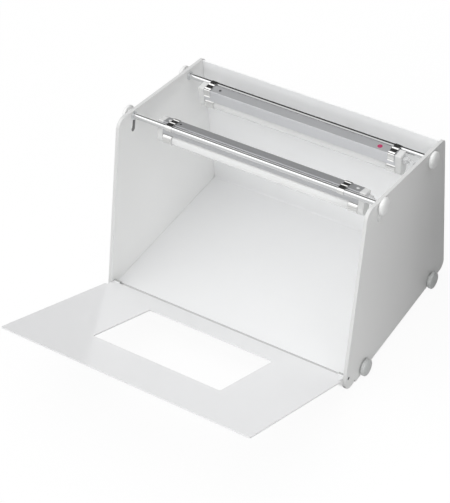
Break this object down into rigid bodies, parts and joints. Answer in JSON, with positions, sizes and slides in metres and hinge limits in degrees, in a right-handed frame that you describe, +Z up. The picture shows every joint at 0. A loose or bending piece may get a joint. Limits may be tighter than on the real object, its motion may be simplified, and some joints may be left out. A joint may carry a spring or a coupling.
{
  "type": "tabletop photo light box",
  "caption": "Open-fronted white light box: side panels, bent floor and back sheet, chromed rods with clip-on batten lamps, clamp knobs and a hinged flap with a lens window.",
  "frame": {"origin": "on the table plane under the middle of the object's box, flap at its rest angle", "axes": "+Z up, +X to the right seen from the open front, +Y from the flap towards the back wall"},
  "size_m": [0.4204, 0.512, 0.2782],
  "materials": {
    "white_panel": "satin",
    "white_sheet": "matte",
    "flap_white": "glossy",
    "chrome_rod": "polished",
    "chrome_clip": "polished",
    "zinc_steel": "satin",
    "dark_steel": "blackened",
    "lamp_grey": "satin anodised",
    "lamp_white": "gloss",
    "cover_white": "white reflector paint",
    "board_green": "matte",
    "tube_white": "phosphor coated",
    "tube_metal": "satin",
    "clear_plastic": "clear",
    "knob_white": "moulded",
    "knob_grey": "satin",
    "dot_red": "gloss"
  },
  "bodies": {
    "cabinet": {"left_side_panel": "white_panel", "right_side_panel": "white_panel", "backdrop_sheet": "white_sheet", "rear_top_rod": "chrome_rod", "rear_rod_stop_rings": "zinc_steel", "front_bottom_rod": "zinc_steel", "rear_bottom_rod": "zinc_steel"},
    "front_rod": {"front_top_rod": "chrome_rod", "front_rod_stop_rings": "zinc_steel"},
    "front_lamp": {"front_lamp_channel": "lamp_grey", "front_lamp_cover": "cover_white", "front_lamp_ballast": "board_green", "front_lamp_end_cap_left": "lamp_white", "front_lamp_end_cap_right": "lamp_white", "front_lamp_collars": "chrome_clip", "front_lamp_rivets": "zinc_steel", "front_lamp_spring_clips": "chrome_clip", "front_lamp_plug": "clear_plastic", "front_lamp_lead": "clear_plastic"},
    "rear_lamp": {"rear_lamp_channel": "lamp_grey", "rear_lamp_cover": "cover_white", "rear_lamp_ballast": "board_green", "rear_lamp_end_cap_left": "lamp_white", "rear_lamp_end_cap_right": "lamp_white", "rear_lamp_collars": "chrome_clip", "rear_lamp_rivets": "zinc_steel", "rear_lamp_spring_clips": "chrome_clip", "rear_lamp_plug": "clear_plastic", "rear_lamp_lead": "clear_plastic", "rear_lamp_red_dot": "dot_red"},
    "front_tube": {"front_lamp_tube_glass": "tube_white", "front_lamp_tube_caps": "tube_metal"},
    "rear_tube": {"rear_lamp_tube_glass": "tube_white", "rear_lamp_tube_caps": "tube_metal"},
    "flap_base": {"flap_neck": "flap_white", "flap_hinge_pins": "dark_steel"},
    "flap_panel": {"flap_sheet": "flap_white"},
    "knob_top_front_left": {"knob_top_front_left": "knob_white"},
    "knob_top_rear_left": {"knob_top_rear_left": "knob_white"},
    "foot_knob_front_left": {"foot_knob_front_left": "knob_grey"},
    "foot_knob_rear_left": {"foot_knob_rear_left": "knob_grey"},
    "knob_top_front_right": {"knob_top_front_right": "knob_white"},
    "knob_top_rear_right": {"knob_top_rear_right": "knob_white"},
    "foot_knob_front_right": {"foot_knob_front_right": "knob_grey"},
    "foot_knob_rear_right": {"foot_knob_rear_right": "knob_grey"}
  },
  "joints": [
    {"name": "front_rod_slide", "type": "slide", "parent": "cabinet", "child": "front_rod", "axis": [0, -0.2735, -0.9619], "range_m": [0, 0.0205]},
    {"name": "front_lamp_swivel", "type": "hinge", "parent": "front_rod", "child": "front_lamp", "pos_m": [0, 0.07734, 0.2657], "axis": [1, 0, 0], "range_deg": [-35, 50]},
    {"name": "rear_lamp_swivel", "type": "hinge", "parent": "cabinet", "child": "rear_lamp", "pos_m": [0, 0.21444, 0.2401], "axis": [1, 0, 0], "range_deg": [-50, 20]},
    {"name": "front_tube_twist", "type": "hinge", "parent": "front_lamp", "child": "front_tube", "pos_m": [0, 0.08417, 0.24016], "axis": [1, 0, 0], "range_deg": [0, 90]},
    {"name": "rear_tube_twist", "type": "hinge", "parent": "rear_lamp", "child": "rear_tube", "pos_m": [0, 0.20144, 0.21709], "axis": [1, 0, 0], "range_deg": [0, 90]},
    {"name": "flap_hinge", "type": "hinge", "parent": "cabinet", "child": "flap_base", "pos_m": [0, -0.02036, 0.0239], "axis": [1, 0, 0], "range_deg": [-50.2, 30]},
    {"name": "flap_flex", "type": "hinge", "parent": "flap_base", "child": "flap_panel", "pos_m": [0, -0.03737, 0.03236], "axis": [1, 0, 0], "range_deg": [-29.3, 0]},
    {"name": "knob_top_front_left_turn", "type": "hinge", "parent": "front_rod", "child": "knob_top_front_left", "pos_m": [-0.205, 0.07734, 0.2657], "axis": [-1, 0, 0], "continuous": true},
    {"name": "knob_top_rear_left_turn", "type": "hinge", "parent": "cabinet", "child": "knob_top_rear_left", "pos_m": [-0.205, 0.21444, 0.2401], "axis": [-1, 0, 0], "continuous": true},
    {"name": "foot_knob_front_left_turn", "type": "hinge", "parent": "cabinet", "child": "foot_knob_front_left", "pos_m": [-0.205, 0.01794, 0.0125], "axis": [-1, 0, 0], "continuous": true},
    {"name": "foot_knob_rear_left_turn", "type": "hinge", "parent": "cabinet", "child": "foot_knob_rear_left", "pos_m": [-0.205, 0.21174, 0.0125], "axis": [-1, 0, 0], "continuous": true},
    {"name": "knob_top_front_right_turn", "type": "hinge", "parent": "front_rod", "child": "knob_top_front_right", "pos_m": [0.205, 0.07734, 0.2657], "axis": [1, 0, 0], "continuous": true},
    {"name": "knob_top_rear_right_turn", "type": "hinge", "parent": "cabinet", "child": "knob_top_rear_right", "pos_m": [0.205, 0.21444, 0.2401], "axis": [1, 0, 0], "continuous": true},
    {"name": "foot_knob_front_right_turn", "type": "hinge", "parent": "cabinet", "child": "foot_knob_front_right", "pos_m": [0.205, 0.01794, 0.0125], "axis": [1, 0, 0], "continuous": true},
    {"name": "foot_knob_rear_right_turn", "type": "hinge", "parent": "cabinet", "child": "foot_knob_rear_right", "pos_m": [0.205, 0.21174, 0.0125], "axis": [1, 0, 0], "continuous": true}
  ]
}
